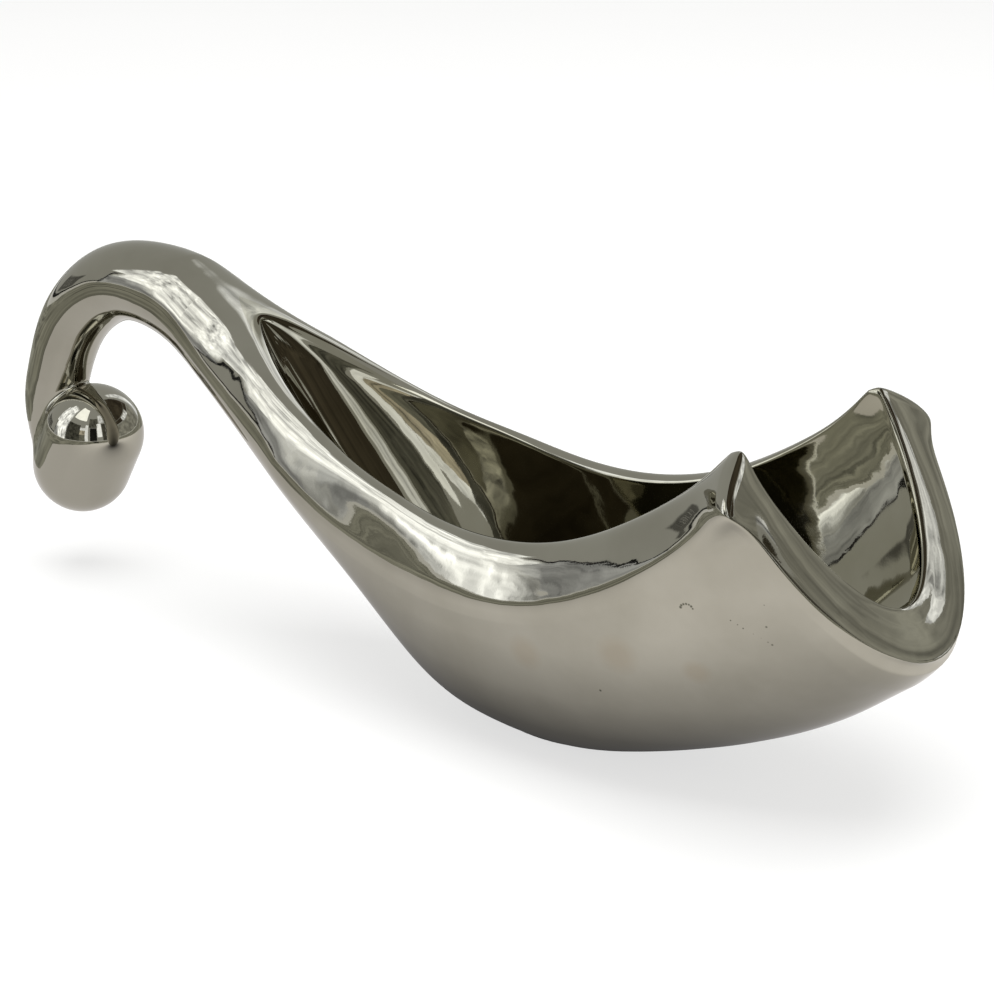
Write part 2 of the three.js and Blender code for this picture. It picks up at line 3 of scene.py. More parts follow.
import bmesh
import bpy
import numpy as np
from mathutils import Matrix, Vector


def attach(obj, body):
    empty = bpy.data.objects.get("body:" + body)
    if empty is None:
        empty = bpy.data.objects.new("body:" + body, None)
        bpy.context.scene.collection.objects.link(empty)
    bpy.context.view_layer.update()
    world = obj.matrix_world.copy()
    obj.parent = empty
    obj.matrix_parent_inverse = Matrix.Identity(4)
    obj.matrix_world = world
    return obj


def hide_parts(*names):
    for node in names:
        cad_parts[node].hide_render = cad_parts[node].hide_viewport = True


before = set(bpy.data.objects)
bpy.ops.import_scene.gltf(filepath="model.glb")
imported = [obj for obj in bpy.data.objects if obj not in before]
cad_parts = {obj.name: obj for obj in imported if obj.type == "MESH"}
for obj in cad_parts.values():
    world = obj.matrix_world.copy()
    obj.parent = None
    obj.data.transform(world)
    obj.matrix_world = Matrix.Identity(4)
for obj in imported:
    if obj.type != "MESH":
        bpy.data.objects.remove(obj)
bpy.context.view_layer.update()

# A centrepiece bowl in bright metal, shaped like a horn of plenty. The surfaces are made from the
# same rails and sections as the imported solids, but finely and with rounded creases. Lengths are
# millimetres until a mesh is made, and metres in the scene. +X points to the pour end, and the
# camera stands on the -Y side.

MM = 0.001
TINY = 1e-12  # the least length that something is divided by
WALL = 0.8  # thickness of the shown sheets, which meet without a gap
MIRROR = np.array([1, -1, 1])  # from the left side to the right side

# Handle stations, from the tip inside the curl to the neck: centre line x and z, diameter, and the
# direction that faces outwards, in degrees from straight up towards the pour end.
HANDLE = [
    (-275, 48, 26, -112),
    (-280, 71, 26, -92),
    (-276, 90, 27, -78),
    (-264, 114, 29, -50),
    (-241, 132.5, 32, -20),
    (-216, 137, 34.5, 5),
    (-191, 132, 38, 22),
]

# Bowl stations, from the neck to the horns: keel (x, z), crease and inner edge (x, half width, z),
# and the cavity's floor (x, z).
BOWL = [
    ((-178, 103), (-169, 23, 119), (-156, 7, 136), (-156, 133.5)),
    ((-151.5, 87), (-143, 31, 105), (-136, 14, 123.5), (-133, 111)),
    ((-116, 62), (-113, 39.5, 88), (-110, 24, 109.9), (-106, 79)),
    ((-78.5, 33.5), (-83, 45.5, 75), (-82, 33, 98.8), (-78, 49)),
    ((-48, 7), (-52, 50, 67.7), (-56, 38, 92), (-50, 26)),
    ((-17, -1), (-21, 54.5, 65), (-28, 40.5, 86.2), (-23, 14)),
    ((17, -1.5), (9.5, 57, 67), (2, 42, 85.7), (10, 10)),
    ((50, 6), (39.5, 59, 76), (30, 43, 92.4), (47, 14)),
    ((84.5, 18), (67, 60.5, 91.5), (55, 43.5, 104.8), (82, 30)),
    ((117.5, 34.5), (89.2, 61.5, 108.6), (78, 44, 120.8), (114, 54)),
    ((140, 52), (100.6, 63.8, 118.2), (91, 44.3, 133.5), (132, 71)),
    ((153, 65.5), (109, 66.3, 125), (99.5, 44.5, 140.3), (140.5, 80)),
]
GROOVE_START = (-181, 0, 148)  # where the cavity runs out in a groove on the neck

# Centre and radius of the ball, and of the swelling where the handle turns in under it
BALL = (-257, 0, 64, 21.6)
CURL = (-265, 0, 48.5, 21)

# Places along the body, counted in stations
NECK = len(HANDLE) - 1  # the joint of handle and bowl
TIP = len(HANDLE) + len(BOWL) - 1  # the horns
AT_TIP = np.array(float(TIP))
BALL_JOINT = 2.4  # above the ball, where the tube has left it
GROOVE = NECK + 0.35
STATIONS = np.arange(TIP + 1)

# Fullness of the cross-sections, as (station, value) pairs. 0.5523 makes a round quarter, more is
# squarer. From wing on, the values are millimetres.
ROUND = 0.5523
SHAPE = {
    "hull_side": [(0, ROUND), (7, ROUND), (10, 0.6), (13, 0.6), (16, 0.5), (18, 0.43)],
    "hull_bottom": [
        (0, ROUND), (6, ROUND), (7, 0.53), (8, 0.47), (9, 0.38), (10, 0.37), (11, 0.52), (12, 0.67),
        (13, 0.7), (14, 0.7), (16, 0.58), (18, 0.58),
    ],
    "hull_tuck": [(0, 0), (7, 0), (10, 0.05), (13, 0.1), (16, 0.04), (18, 0.04)],
    "rim_rise": [(0, ROUND), (7, ROUND), (10, 0.42), (15, 0.42), (18, 0.33)],
    "rim_level": [(0, ROUND), (6.35, ROUND), (8, 0.15), (9.5, 0), (18, 0)],
    "roll_along": [(0, 0), (7, 0), (11, 0.35), (18, 0.35)],
    "wall_side": [(0, 0.5), (9, 0.5), (13, 0.55), (18, 0.45)],
    "wall_bottom": [(0, 0.5), (6, 0.5), (9, 0.45), (13, 0.55), (18, 0.5)],
    "wall_tuck": [(0, 0), (13, 0), (18, 0.08)],
    "wing": [(0, 0), (14, 0), (15, 0.6), (16, 2), (17, 4.8), (18, 8)],
    "rim_out": [(0, 0), (7, 0), (10, -2.5), (16, -2.5), (18, 1.5)],
    "roll_out": [
        (0, 0), (7, 0), (8, 9), (9, 9), (10, 8), (13, 10), (14, 11), (16, 11), (17, 10), (18, 9),
    ],
    "roll_up": [
        (0, 0), (6, 0), (7, 1), (8, 3), (9, 4.5), (10, 5), (13, 8), (15, 8), (16, 6.5), (17, 2.5),
        (18, -3.5),
    ],
}
WING_SHARPNESS = 19
RIDGE_DECAY = 4  # how fast the ridge of the horn fades down the front band
CROWN = np.array([0.7, 0, 0.52])  # how far the front band swells outwards along its middle
CROWN_DECAY = 6  # how soon below the horns the swelling is full


def spline(places, values):
    """A natural cubic curve through values, one or several numbers each, at the given places."""
    x = np.asarray(places, float)
    y = np.asarray(values, float)
    h = np.diff(x)
    matrix = np.eye(len(x))
    right = np.zeros_like(y)
    for i in range(1, len(x) - 1):
        matrix[i, i - 1 : i + 2] = h[i - 1], 2 * (h[i - 1] + h[i]), h[i]
        right[i] = 6 * ((y[i + 1] - y[i]) / h[i] - (y[i] - y[i - 1]) / h[i - 1])
    bend = np.linalg.solve(matrix, right)

    def curve(u):
        u = np.asarray(u, float)
        i = np.searchsorted(x[1:-1], u)
        a = (x[i + 1] - u) / h[i]
        b = 1 - a
        step = h[i]
        if y.ndim > 1:
            a, b, step = a[..., None], b[..., None], step[..., None]
        curved = (a**3 - a) * bend[i] + (b**3 - b) * bend[i + 1]
        return a * y[i] + b * y[i + 1] + curved * step**2 / 6

    return curve


shape = {
    name: spline(STATIONS, np.interp(STATIONS, [p[0] for p in pairs], [p[1] for p in pairs]))
    for name, pairs in SHAPE.items()
}


def rails():
    """The keel, the crease and the top line, through the stations of the handle and the bowl."""
    keel, crease, edge = [], [], []
    for x, z, diameter, outward in HANDLE:
        angle = math.radians(outward)
        dx, dz = math.sin(angle) * diameter / 2, math.cos(angle) * diameter / 2
        keel.append((x - dx, 0, z - dz))
        crease.append((x, diameter / 2, z))
        edge.append((x + dx, 0, z + dz))
    for k, c, e, _ in BOWL:
        keel.append((k[0], 0, k[1]))
        crease.append(c)
        edge.append(e)
    return spline(STATIONS, keel), spline(STATIONS, crease), spline(STATIONS, edge)


keel_rail, crease_rail, top_rail = rails()
groove_places = [GROOVE, *range(len(HANDLE), TIP + 1)]
edge_width = spline(groove_places, [0, *(s[2][1] for s in BOWL)])
floor_rail = spline(groove_places, [GROOVE_START, *((s[3][0], 0, s[3][1]) for s in BOWL)])


def edge_rail(u):
    """The inner edge of the rim. Before the groove both sides run together on the middle plane."""
    point = top_rail(u)
    point[..., 1] = np.where(u > GROOVE, np.maximum(edge_width(np.maximum(u, GROOVE)), 0), 0)
    return point


def bezier(a, b, c, d, v):
    """The cubic curve from a to d, with the handles b and c, at the places v from 0 to 1."""
    v = v[..., None]
    w = 1 - v
    return a * w**3 + b * 3 * w * w * v + c * 3 * w * v * v + d * v**3


def offset(x, y, z):
    """One array of points or steps from three arrays of numbers."""
    return np.stack(np.broadcast_arrays(x, y, z), -1)


def hull(u, v):
    """The hull, from the crease at v = 0 to the keel at v = 1."""
    u, v = np.broadcast_arrays(u, v)
    keel, crease = keel_rail(u), crease_rail(u)
    flare = shape["wing"](u)
    crease[..., 1] -= flare
    corner = offset(keel[..., 0], crease[..., 1] * (1 - shape["hull_tuck"](u)), keel[..., 2])
    side = crease + (corner - crease) * shape["hull_side"](u)[..., None]
    bottom = keel + (corner - keel) * shape["hull_bottom"](u)[..., None]
    point = bezier(crease, side, bottom, keel, v)
    point[..., 1] += flare * (1 - v) ** WING_SHARPNESS
    return point


def rim(u, w):
    """The rolled rim, from the crease at w = 0 to the inner edge at w = 1."""
    u, w = np.broadcast_arrays(u, w)
    crease, edge = crease_rail(u), edge_rail(u)
    step = edge - crease
    rise = shape["rim_rise"](u)
    leave = crease + offset(step[..., 0] * rise, shape["rim_out"](u), step[..., 2] * rise)
    level = shape["roll_out"](u) - step[..., 1] * shape["rim_level"](u)
    arrive = edge + offset(-step[..., 0] * shape["roll_along"](u), level, shape["roll_up"](u))
    return bezier(crease, leave, arrive, edge, w)


def cavity(u, v):
    """The cavity's wall, from the inner edge at v = 0 to the floor at v = 1."""
    u, v = np.broadcast_arrays(u, v)
    edge, floor = edge_rail(u), floor_rail(u)
    corner = offset(floor[..., 0], edge[..., 1] * (1 - shape["wall_tuck"](u)), floor[..., 2])
    side = edge + (corner - edge) * shape["wall_side"](u)[..., None]
    bottom = floor + (corner - floor) * shape["wall_bottom"](u)[..., None]
    return bezier(edge, side, bottom, floor, v)


def front_band(v, s):
    """The band between the horns, from the notch at s = 0 to the front crease at s = 1."""
    inner, outer = cavity(AT_TIP, v)[:, None], hull(AT_TIP, v)[:, None]
    ends = rim(AT_TIP, np.array([1.0, 0.0]))
    ridge = rim(AT_TIP, 1 - s) - (ends[0] + (ends[1] - ends[0]) * s[:, None])
    fade = ((1 - v) ** RIDGE_DECAY)[:, None, None]
    crown = np.outer(1 - (1 - v) ** CROWN_DECAY, 4 * s * (1 - s))[..., None] * CROWN
    return inner + (outer - inner) * s[None, :, None] + ridge[None] * fade + crown


# Samples, dense beside the creases that are rounded afterwards
def dense_start(steps, spacing):
    """Places from 0 to 1, with steps at the start that are shorter than even ones by the spacing."""
    t = np.linspace(0, 1, steps + 1)
    return spacing * t + (1 - spacing) * t**3


def dense_ends(steps, spacing):
    """Places from 0 to 1, with such shorter steps at both ends."""
    t = np.linspace(0, 1, steps + 1)
    return t - (1 - spacing) * np.sin(2 * np.pi * t) / (2 * np.pi)


def denser(u, dense):
    """Samples along each row u: even near the neck, where the edges are soft, and dense further on."""
    even = np.linspace(0, 1, len(dense))
    share = np.clip((u - NECK - 2) / 3, 0, 1)[:, None]
    return even[None] + (dense - even)[None] * share


def reach_level(u, level):
    """How far down each of the hull's rows u stays above a level, as v."""
    low, high = np.zeros_like(u), np.ones_like(u)
    for _ in range(40):  # each round halves what is left
        middle = (low + high) / 2
        above = hull(u, middle)[..., 2] > level
        low, high = np.where(above, middle, low), np.where(above, high, middle)
    return high


FELT_TOP, FOOT_TOP = 1.8, 3.0  # tops of the felt and of the foot plate, where the hull is cut level
DOWN_STEPS, DOWN_SPACING = 56, 0.17  # from a crease down to the keel or the cavity's floor
ACROSS_STEPS, ACROSS_SPACING = 44, 0.4  # across the rim or the front band
HANDLE_STEPS, BOWL_STEPS = 60, 126  # along the handle, and along the bowl up to its dense part
HORN_STEPS, HORN_SPACING = 36, 0.3  # along the dense part
HORN_PART = 1.5  # how many stations before the horns the dense part starts

down, even_down = dense_start(DOWN_STEPS, DOWN_SPACING), np.linspace(0, 1, DOWN_STEPS + 1)
across, even_across = dense_ends(ACROSS_STEPS, ACROSS_SPACING), np.linspace(0, 1, ACROSS_STEPS + 1)
handle_rows = np.linspace(BALL_JOINT, NECK, HANDLE_STEPS + 1)
bowl_rows = np.linspace(NECK, TIP - HORN_PART, BOWL_STEPS + 1)[:-1]
horn_rows = TIP - HORN_PART * dense_start(HORN_STEPS, HORN_SPACING)
rows = np.sort([*bowl_rows, *horn_rows, GROOVE])
in_groove = rows >= GROOVE
liner_rows = rows[in_groove]

hull_grid = hull(rows[:, None], denser(rows, down) * reach_level(rows, FOOT_TOP)[:, None])
rim_grid = rim(rows[:, None], denser(rows, across))
liner_grid = cavity(liner_rows[:, None], denser(liner_rows, down))
band_grid = front_band(down, across)
handle_top = rim(handle_rows[:, None], even_across[None, ::-1])
handle_grid = np.concatenate([handle_top, hull(handle_rows[:, None], even_down[None, 1:])], axis=1)

# How strongly each point is smoothed, by its place in the grid beside a crease
REACH = 26  # samples beside a crease that are smoothed with it
FRONT_CREASE, RIDGE, NOTCH = 0.45, 0.9, 0.45  # how round each kind of crease is


def near_start(count):
    """Weights that fall from 1 at a grid's first sample to 0 at the reach."""
    return np.clip(1 - np.arange(count) / REACH, 0, 1)


def near_end(count):
    return near_start(count)[::-1]


from_crease = near_start(len(down))
at_horns = near_end(len(rows))[:, None]
creased = np.clip((rows - NECK - 0.8) / 1.5, 0, 1)[:, None]  # the hull's crease starts on the neck
inner_edge = 0.2 + 0.8 * np.clip((9.5 - rows) / 2, 0, 1)  # soft at the neck, and crisp further on

hull_weight = np.maximum(from_crease * creased, FRONT_CREASE * at_horns)
rim_weight = np.maximum(near_start(len(across)) * creased, RIDGE * at_horns)
rim_weight = np.maximum(rim_weight, near_end(len(across)) * (inner_edge * in_groove)[:, None])
liner_weight = from_crease * inner_edge[in_groove][:, None]
liner_weight = np.maximum(liner_weight, NOTCH * near_end(len(liner_rows))[:, None])
band_ends = np.maximum(NOTCH * near_start(len(across)), FRONT_CREASE * near_end(len(across)))
band_weight = np.maximum(RIDGE * from_crease[:, None], band_ends)
handle_weight = np.zeros(handle_grid.shape[:2])

# The patches of both sides: name, grid, weights, and whether the faces turn over
patches = []
for mark, turn in (("left", 1), ("right", -1)):
    side = np.array([1, turn, 1])
    patches += [
        ("outer_shell_" + mark, hull_grid * side, hull_weight, turn < 0),
        ("rim_" + mark, rim_grid * side, rim_weight, turn > 0),
        ("inner_bowl", liner_grid * side, liner_weight, turn > 0),
        ("spout_lip", band_grid * side, band_weight, turn < 0),
        ("handle_" + mark, handle_grid * side, handle_weight, turn < 0),
    ]


def grid_faces(n, m):
    """The quads of a grid of n rows with m points each."""
    index = np.arange(n * m).reshape(n, m)
    corners = [index[:-1, :-1], index[1:, :-1], index[1:, 1:], index[:-1, 1:]]
    return np.stack(corners, -1).reshape(-1, 4)


def weld(patches):
    """One mesh of all patches: points, faces, the patch number of each face, smoothing weights."""
    points, quads, owner, weights = [], [], [], []
    start = 0
    for number, (_, grid, weight, flip) in enumerate(patches):
        faces = start + grid_faces(*weight.shape)
        quads.append(faces[:, ::-1] if flip else faces)
        owner.append(np.full(len(faces), number))
        points.append(grid.reshape(-1, 3))
        weights.append(weight.reshape(-1))
        start += weight.size
    points, weights = np.concatenate(points), np.concatenate(weights)
    keys = np.round(points * 1000).astype(np.int64)
    _, first, same = np.unique(keys, axis=0, return_index=True, return_inverse=True)
    same = same.reshape(-1)
    merged = np.zeros(len(first))
    np.maximum.at(merged, same, weights)
    return points[first], same[np.concatenate(quads)], np.concatenate(owner), merged


def soften(points, quads, weights, rounds):
    """Rounds the creases: points with a weight move towards the mean of their neighbours."""
    pairs = np.concatenate([quads[:, [k, (k + 1) % 4]] for k in range(4)])
    pairs = pairs[pairs[:, 0] != pairs[:, 1]]
    pairs = np.unique(np.concatenate([pairs, pairs[:, ::-1]]), axis=0)
    pairs = pairs[weights[pairs[:, 0]] > 0]
    moving, place = np.unique(pairs[:, 0], return_inverse=True)
    place = place.reshape(-1)
    count = np.bincount(place)[:, None]
    points = points.copy()
    for _ in range(rounds):
        near = points[pairs[:, 1]]
        mean = np.stack([np.bincount(place, near[:, k]) for k in range(3)], 1) / count
        points[moving] += 0.5 * weights[moving, None] * (mean - points[moving])
    return points


def near_line(points, line, reach, strength):
    """Weights that fall from a strength on a line and its mirror image to 0 at the reach. Both may
    vary along the line."""
    weight = np.zeros(len(points))
    reach, strength = np.broadcast_to(reach, len(line)), np.broadcast_to(strength, len(line))
    for place, far, most in zip(line, reach, strength):
        for centre in (place, place * MIRROR):
            distance = np.linalg.norm(points - centre, axis=1)
            fall = np.clip(1.3 * (1 - distance / far), 0, 1)  # stays at 1 close to the line
            weight = np.maximum(weight, most * fall)
    return weight


def saddle_weights(points):
    """The groove starts on the neck as a soft saddle."""
    end = 9.7
    u = np.linspace(GROOVE - 0.2, end, 90)
    reach = np.interp(u, [GROOVE, 7.5, 8.5, end], [14, 11, 7, 2.5])
    return near_line(points, edge_rail(u), reach, np.interp(u, [GROOVE, 8.2, end], [1, 0.8, 0]))


def bead_weights(points):
    """The creases and the ridges of the horns are beads."""
    u, even = np.linspace(BEAD_START, TIP, 220), np.linspace(0, 1, 120)
    beads = [
        near_line(points, crease_rail(u), 5.0, np.interp(u, [BEAD_START, 10.5], [0, 0.5])),
        near_line(points, rim(AT_TIP, even), 4.5, 0.7),
        near_line(points, hull(AT_TIP, even), 3.6, 0.3),
        near_line(points, cavity(AT_TIP, even), 3.0, 0.22),
    ]
    return np.max(beads, axis=0)


def give_back(points, sharp, line, reach, share):
    """Moves a rounded crease and what lies around it by a share of the way back to the sharp one."""
    line = np.concatenate([line, line * MIRROR])
    at = np.array([np.argmin(np.linalg.norm(sharp - place, axis=1)) for place in line])
    loss = sharp[at] - points[at]
    moved = points.copy()
    for part in np.array_split(np.arange(len(points)), 12):  # in parts, to save memory
        distance = np.linalg.norm(points[part, None] - points[None, at], axis=2)
        nearness = np.exp(-((distance / reach) ** 2))
        total = np.maximum(nearness.sum(1), TINY)[:, None]
        moved[part] += share * nearness.max(1)[:, None] * (nearness @ loss) / total
    return moved


def point_normals(points, quads):
    """The unit normal at each point, from the faces around it."""
    a = points[quads[:, 2]] - points[quads[:, 0]]
    b = points[quads[:, 3]] - points[quads[:, 1]]
    area = np.cross(a, b)
    total = np.zeros_like(points)
    for k in range(4):
        for axis in range(3):
            total[:, axis] += np.bincount(quads[:, k], area[:, axis], len(points))
    return total / np.maximum(np.linalg.norm(total, axis=1), TINY)[:, None]


BEAD_START = 9  # the station where the side creases begin to be beads
CREASE_ROUNDS, SADDLE_ROUNDS, BEAD_ROUNDS = 110, 600, 240  # of smoothing
HORNS_BACK, FRONT_BACK = (8.0, 0.9), (17.0, 0.8)  # reach and share of what is given back

sharp, quads, owner, weights = weld(patches)
points = soften(sharp, quads, weights, CREASE_ROUNDS)
points = soften(points, quads, saddle_weights(points), SADDLE_ROUNDS)
points = soften(points, quads, bead_weights(points), BEAD_ROUNDS)

even = np.linspace(0, 1, 50)
horns = np.concatenate([rim(AT_TIP, even), crease_rail(np.linspace(BEAD_START, TIP, 110))])
points = give_back(points, sharp, horns, *HORNS_BACK)
points = give_back(points, sharp, hull(AT_TIP, even), *FRONT_BACK)
normals = point_normals(points, quads)

# The handle's tube near the ball, as the surface swept by spheres along its centre line
TUBE_END, TUBE_STEPS = 3.6, 1200  # the end lies beyond the joint
COARSE = 12  # the step between the samples that are tried first
tube_u = np.linspace(0, TUBE_END, TUBE_STEPS + 1)
tube_top, tube_keel = top_rail(tube_u), keel_rail(tube_u)
tube_centres = (tube_top + tube_keel) / 2
tube_radii = np.linalg.norm(tube_top - tube_keel, axis=1) / 2

# The fillet between tube and ball, at heights: narrow beside the ball and wide under it
FILLET_HEIGHTS, FILLET_WIDTHS = [30, 46, 62, 80], [9, 6, 3, 2.5]


def dot(a, b):
    """The products of two lists of vectors, one by one."""
    return np.einsum("ij,ij->i", a, b)


def tube_distance(p):
    near = np.linalg.norm(p[:, None] - tube_centres[None, ::COARSE], axis=2) - tube_radii[::COARSE]
    middle = np.argmin(near, 1) * COARSE
    best = np.full(len(p), np.inf)
    for shift in range(-COARSE, COARSE + 1):
        i = np.clip(middle + shift, 0, len(tube_u) - 2)
        line = tube_centres[i + 1] - tube_centres[i]
        t = np.clip(dot(p - tube_centres[i], line) / dot(line, line), 0, 1)
        centre = tube_centres[i] + line * t[:, None]
        radius = tube_radii[i] + t * (tube_radii[i + 1] - tube_radii[i])
        best = np.minimum(best, np.linalg.norm(p - centre, axis=1) - radius)
    return best


def ball_distance(p):
    """Distance to the ball and the swelling under it, joined by their common cone."""
    start, end = np.array(CURL[:3], float), np.array(BALL[:3], float)
    line = end - start
    length = np.linalg.norm(line)
    slope = (BALL[3] - CURL[3]) / length
    x = (p - start) @ line / length
    y = np.sqrt(np.maximum(dot(p - start, p - start) - x**2, 0))
    t = np.clip((x + slope * y / math.sqrt(1 - slope**2)) / length, 0, 1)
    centre = start + line * t[:, None]
    return np.linalg.norm(p - centre, axis=1) - (CURL[3] + t * (BALL[3] - CURL[3]))


def curl_distance(p):
    """Distance to tube and ball, joined with the fillet."""
    a, b = tube_distance(p), ball_distance(p)
    fillet = np.interp(p[:, 2], FILLET_HEIGHTS, FILLET_WIDTHS)
    overlap = np.maximum(fillet - np.abs(a - b), 0)
    return np.minimum(a, b) - overlap**2 / (4 * fillet)


def gradient(distance, p, step=0.02):
    result = np.empty_like(p)
    for axis in range(3):
        move = np.zeros(3)
        move[axis] = step
        result[:, axis] = (distance(p + move) - distance(p - move)) / (2 * step)
    return result


def onto(distance, p, rounds=4, least_square=0.05):
    """Moves points onto the surface where a distance is 0."""
    for _ in range(rounds):
        slope = gradient(distance, p)
        square = np.maximum(dot(slope, slope), least_square)
        p = p - slope * (distance(p) / square)[:, None]
    return p


def put(name, data):
    """A new object in the scene."""
    obj = bpy.data.objects.new(name, data)
    bpy.context.scene.collection.objects.link(obj)
    return obj


def ring(u, count):
    """A whole section of the tube, at one place."""
    angle = np.linspace(0, 2 * np.pi, count, endpoint=False)
    top, keel = top_rail(u), keel_rail(u)
    centre, up = (top + keel) / 2, (top - keel) / 2
    radius = np.linalg.norm(up)
    return centre + np.outer(np.cos(angle), up) + np.outer(np.sin(angle), [0, radius, 0])


def rough_curl(count=48, voxel=0.7):
    """The tube, the ball and the swelling as one closed voxel mesh."""
    blank = bmesh.new()
    for x, _, z, radius in (BALL, CURL, (HANDLE[0][0], 0, HANDLE[0][1], HANDLE[0][2] / 2)):
        made = bmesh.ops.create_icosphere(blank, subdivisions=4, radius=radius)
        bmesh.ops.translate(blank, verts=made["verts"], vec=(x, 0, z))
    places = np.linspace(0, BALL_JOINT + 0.4, 30)
    rings = [[blank.verts.new(p) for p in ring(np.array(u), count)] for u in places]
    for a, b in zip(rings, rings[1:]):
        for j in range(count):
            k = (j + 1) % count
            blank.faces.new((a[j], a[k], b[k], b[j]))
    blank.faces.new(rings[0][::-1])
    blank.faces.new(rings[-1])
    bmesh.ops.recalc_face_normals(blank, faces=blank.faces)
    mesh = bpy.data.meshes.new("curl_blank")
    blank.to_mesh(mesh)
    blank.free()
    obj = put("curl_blank", mesh)
    voxels = obj.modifiers.new("voxels", "REMESH")
    voxels.mode = "VOXEL"
    voxels.voxel_size = voxel
    graph = bpy.context.evaluated_depsgraph_get()
    made = bpy.data.meshes.new_from_object(obj.evaluated_get(graph))
    bpy.data.objects.remove(obj)
    return made


def cut_half(mesh):
    """The left half of the curl: y above 0 and below the joint with the handle."""
    work = bmesh.new()
    work.from_mesh(mesh)
    joint = np.array(BALL_JOINT)
    centre = (top_rail(joint) + keel_rail(joint)) / 2
    across_joint = top_rail(joint) - keel_rail(joint)
    along_joint = Vector((across_joint[2], 0, -across_joint[0])).normalized()
    if along_joint.z < 0:
        along_joint = -along_joint
    for place, outwards in (((0, 0, 0), (0, -1, 0)), (Vector(centre), along_joint)):
        whole = [*work.verts, *work.edges, *work.faces]
        bmesh.ops.bisect_plane(work, geom=whole, plane_co=place, plane_no=outwards, clear_outer=True)
    work.verts.ensure_lookup_table()
    points = np.array([v.co for v in work.verts])
    faces = [[v.index for v in f.verts] for f in work.faces]
    work.free()
    return points, faces


def object_from(name, points, faces, corner_normals, material, slot, nodes):
    """A piece that rides on the body and stands for its nodes. Corner normals are one per corner."""
    mesh = bpy.data.meshes.new(name)
    mesh.from_pydata((np.asarray(points) * MM).tolist(), [], [list(map(int, f)) for f in faces])
    mesh.polygons.foreach_set("use_smooth", np.ones(len(mesh.polygons), bool))
    if corner_normals is not None:
        mesh.normals_split_custom_set(corner_normals.tolist())
    mesh.update()
    obj = put(name, mesh)
    mesh.materials.append(material)
    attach(obj, "root")
    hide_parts(*nodes)


def around(face):
    """The pairs of neighbours round a face."""
    return zip(face, face[1:] + face[:1])


def clean(faces):
    """Drops the repeated corners of collapsed faces, and the faces with nothing left."""
    kept = []
    for f in faces:
        corners = [a for a, b in around(f) if a != b]
        if len(set(corners)) == len(corners) and len(corners) > 2:
            kept.append(corners)
    return kept


def thick(points, faces, normals, wall):
    """A closed sheet: the front faces, their backs, and the walls along the open edges."""
    used = sorted({i for f in faces for i in f})
    place = {old: new for new, old in enumerate(used)}
    n = len(used)
    front, direction = points[used], normals[used]
    faces = [[place[i] for i in f] for f in faces]
    edges = dict.fromkeys(edge for f in faces for edge in around(f))
    backs = [[i + n for i in reversed(f)] for f in faces]
    walls = [[b, a, a + n, b + n] for a, b in edges if (b, a) not in edges]
    every = np.concatenate([front, front - direction * wall])
    corners = [direction[i] for f in faces for i in f] + [-direction[i - n] for f in backs for i in f]
    for f in walls:
        a, b, c = every[f[0]], every[f[1]], every[f[2]]
        flat = np.cross(b - a, c - b)
        corners.extend([flat / max(np.linalg.norm(flat), TINY)] * 4)
    return every, faces + backs + walls, np.array(corners)


# Materials
def node_material(name):
    material = bpy.data.materials.new(name)
    material.use_nodes = True
    tree = material.node_tree
    return material, tree, tree.nodes["Principled BSDF"]


def add(tree, kind, inputs, **settings):
    """A shader node. Each input is a value, or the output that feeds it."""
    node = tree.nodes.new("ShaderNode" + kind)
    for name, value in settings.items():
        setattr(node, name, value)
    for name, value in inputs.items():
        if isinstance(value, bpy.types.NodeSocket):
            tree.links.new(value, node.inputs[name])
        else:
            node.inputs[name].default_value = value
    return node


def calculate(tree, operation, a, b):
    return add(tree, "Math", {0: a, 1: b}, operation=operation).outputs[0]


def object_place(tree):
    return tree.nodes.new("ShaderNodeTexCoord").outputs["Object"]


def noise(tree, scale, detail, roughness, stretch=(1, 1, 1)):
    """A cloudy pattern, with its scale in waves per metre."""
    mapping = add(tree, "Mapping", {"Vector": object_place(tree), "Scale": stretch})
    pattern = {"Scale": scale, "Detail": detail, "Roughness": roughness}
    return add(tree, "TexNoise", {"Vector": mapping.outputs["Vector"], **pattern}).outputs["Fac"]


def ramp(tree, value, stops):
    """A colour for each value, between stops of (value, colour)."""
    node = add(tree, "ValToRGB", {"Fac": value})
    ends = node.color_ramp.elements
    while len(ends) < len(stops):
        ends.new(0.5)
    for element, (position, colour) in zip(ends, stops):
        element.position = position
        element.color = (*colour, 1)
    return node.outputs["Color"]


def to_range(tree, value, low, high, start=0.3, end=0.7):
    """Maps start to low and end to high, held beyond both. Noise mostly stays within 0.3 to 0.7."""
    span = {"From Min": start, "From Max": end, "To Min": low, "To Max": high}
    return add(tree, "MapRange", {"Value": value, **span}).outputs["Result"]


def bump(tree, height, strength, distance, before=None):
    """A bump by a pattern's heights, over another bump or none. The distance is in metres."""
    inputs = {"Height": height, "Strength": strength, "Distance": distance}
    if before is not None:
        inputs["Normal"] = before
    return add(tree, "Bump", inputs).outputs["Normal"]


def near_spots(tree, spots):
    """1 inside small round spots, each (x, y, z, radius) in millimetres, and 0 outside."""
    place = object_place(tree)
    total = None
    for x, y, z, radius in spots:
        centre = (x * MM, y * MM, z * MM)
        far = add(tree, "VectorMath", {0: place, 1: centre}, operation="DISTANCE").outputs["Value"]
        spot = to_range(tree, far, 0, 1, radius * MM, radius * MM * 0.4)
        total = spot if total is None else calculate(tree, "MAXIMUM", total, spot)
    return total


